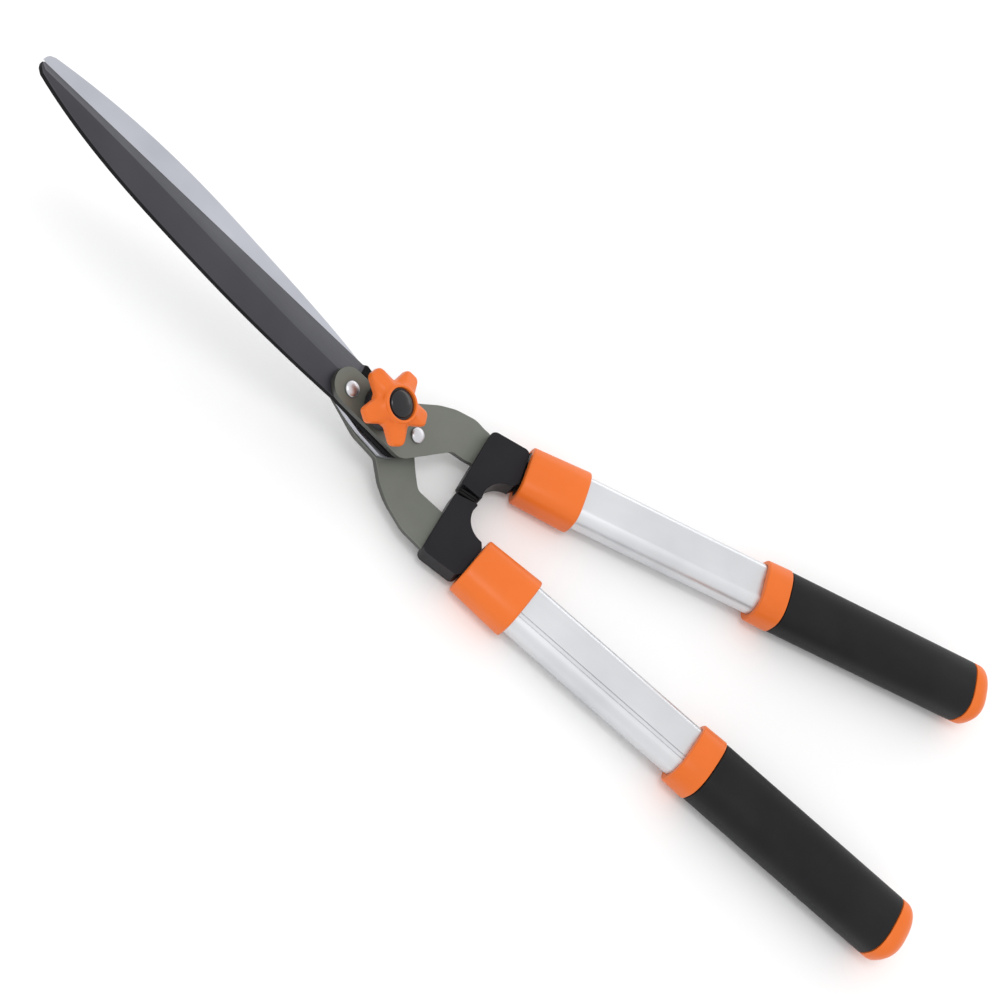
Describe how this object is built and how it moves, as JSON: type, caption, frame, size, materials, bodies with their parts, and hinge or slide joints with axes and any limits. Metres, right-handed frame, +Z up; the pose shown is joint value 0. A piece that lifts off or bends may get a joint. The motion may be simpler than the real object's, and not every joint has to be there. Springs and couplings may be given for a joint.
{
  "type": "hedge shears",
  "caption": "Hedge shears with straight riveted blades, cranked flattened aluminium handles, rubber grips and a star tension knob at the pivot.",
  "frame": {"origin": "bottom centre of the box around the closed shears, on the floor that they lie on", "axes": "+Z up; +X along the middle line from the blade tips to the handle ends; +Y towards the handle of the upper blade, the one on the knob side. The shears lie on both handles with the knob up, so the blade plane rises towards -X by about 25 degrees."},
  "size_m": [0.552, 0.1754, 0.121],
  "materials": {
    "blade_dark": "dark non-stick coating over ground steel, satin",
    "blade_bright": "ground bare steel, fine brushed",
    "tang_paint": "grey-green painted pressed steel, satin",
    "fastener_zinc": "bright zinc plate",
    "black_nylon": "black moulded nylon, satin",
    "bumper_rubber": "black rubber, matt",
    "orange_plastic": "orange moulded plastic, semi-gloss",
    "tube_aluminium": "satin anodised extrusion",
    "grip_rubber": "soft black rubber, matt"
  },
  "bodies": {
    "lower_half": {"lower_blade": "blade_bright", "lower_tang": "tang_paint", "lower_front_rivet": "fastener_zinc", "lower_rear_rivet": "fastener_zinc", "lower_ferrule": "black_nylon", "lower_bumper_pad": "bumper_rubber", "lower_tube_insert": "black_nylon", "lower_tube": "tube_aluminium", "lower_handle_pin": "fastener_zinc", "lower_coupling": "orange_plastic", "lower_collar": "orange_plastic", "lower_grip": "grip_rubber", "lower_end_cap": "orange_plastic", "pivot_bolt": "fastener_zinc", "flat_washer": "fastener_zinc", "spring_washer": "fastener_zinc"},
    "upper_half": {"upper_blade": "blade_dark", "upper_tang": "tang_paint", "upper_front_rivet": "fastener_zinc", "upper_rear_rivet": "fastener_zinc", "upper_ferrule": "black_nylon", "upper_bumper_pad": "bumper_rubber", "upper_tube_insert": "black_nylon", "upper_tube": "tube_aluminium", "upper_handle_pin": "fastener_zinc", "upper_coupling": "orange_plastic", "upper_collar": "orange_plastic", "upper_grip": "grip_rubber", "upper_end_cap": "orange_plastic"},
    "adjusting_knob": {"knob": "orange_plastic", "knob_boss": "black_nylon", "knob_nut": "fastener_zinc", "knob_cap": "black_nylon"}
  },
  "joints": [
    {"name": "blade_pivot", "type": "hinge", "parent": "lower_half", "child": "upper_half", "pos_m": [-0.08282, 0, 0.03089], "axis": [0.4187, 0, 0.9081], "range_deg": [0, 60]},
    {"name": "knob_turn", "type": "hinge", "parent": "lower_half", "child": "adjusting_knob", "pos_m": [-0.08282, 0, 0.03089], "axis": [0.4187, 0, 0.9081], "range_deg": [0, 360]}
  ]
}
